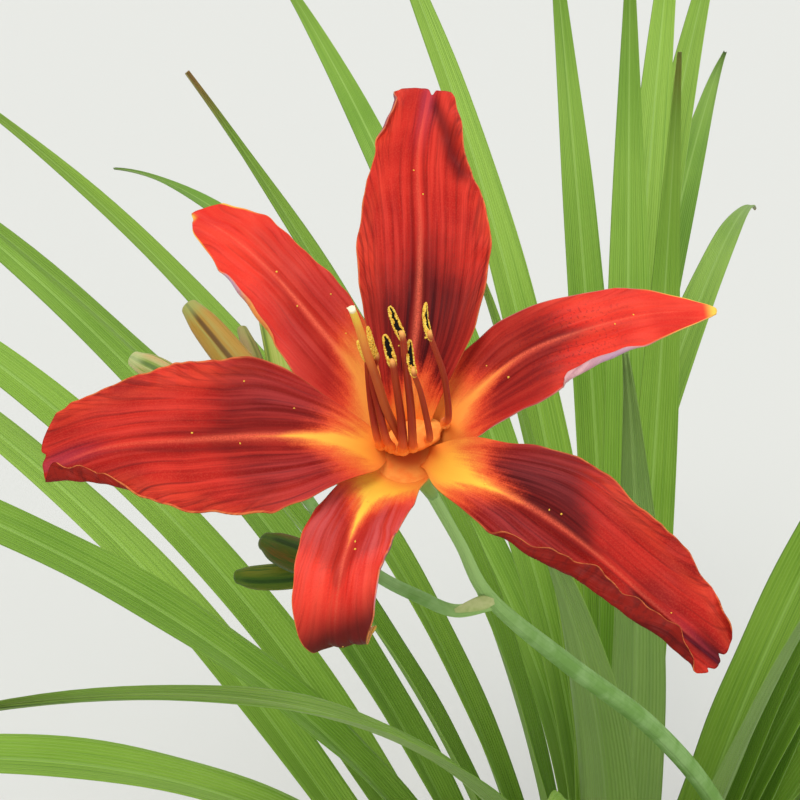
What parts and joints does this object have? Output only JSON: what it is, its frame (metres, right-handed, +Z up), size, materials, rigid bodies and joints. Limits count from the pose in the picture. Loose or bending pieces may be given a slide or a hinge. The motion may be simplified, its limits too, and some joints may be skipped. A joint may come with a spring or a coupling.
{
  "type": "daylily plant",
  "caption": "Potted daylily: arching strap leaves, and a leaning stalk with an open red flower that has an orange throat, and closed buds.",
  "frame": {"origin": "centre of the pot's flat base, on the surface it stands on", "axes": "+Z up; +X to the right and +Y away as the flower is seen from the front, from where it looks up at the viewer"},
  "size_m": [0.7948, 0.784, 0.6455],
  "materials": {
    "clay": "plain unglazed terracotta, matt, slightly dusty",
    "soil": "loose dark potting soil, matt",
    "leaf": "light green strap leaf with fine parallel veins, soft sheen",
    "stalk": "grey-green stalk with a faint waxy bloom",
    "tube": "yellow-green floral tube, smooth",
    "petal": "bright red with a dark maroon eye zone and an orange throat and midrib, satin",
    "sepal": "bright red with an orange throat and yellow margins, pale lilac-pink underside, satin",
    "filament": "dark red-orange filament, orange at its base",
    "anther": "dark anther edged with crusty yellow pollen, matt",
    "style": "orange style with a yellow tip, smooth",
    "bud": "dark green bud with seams and a reddish-brown flush",
    "ripe_bud": "golden-brown bud with green edges and a dark seam",
    "bract": "pale green papery bract, matt"
  },
  "bodies": {
    "root": {"pot": "clay", "soil": "soil", "fan_1": "leaf", "fan_2": "leaf", "fan_3": "leaf", "fan_4": "leaf", "fan_5": "leaf", "stalk": "stalk", "perianth_tube": "tube", "petal_top": "petal", "petal_left": "petal", "petal_right": "petal", "sepal_right": "sepal", "sepal_left": "sepal", "sepal_bottom": "sepal", "filament_1": "filament", "filament_2": "filament", "filament_3": "filament", "filament_4": "filament", "filament_5": "filament", "filament_6": "filament", "anther_1": "anther", "anther_2": "anther", "anther_3": "anther", "anther_4": "anther", "anther_5": "anther", "anther_6": "anther", "pistil": "style", "bud_a": "bud", "bud_b": "bud", "bud_c": "bud", "bud_d": "ripe_bud", "bud_e": "bud", "bud_f": "bud", "bract_node": "bract", "bract_fork": "bract"}
  },
  "joints": []
}
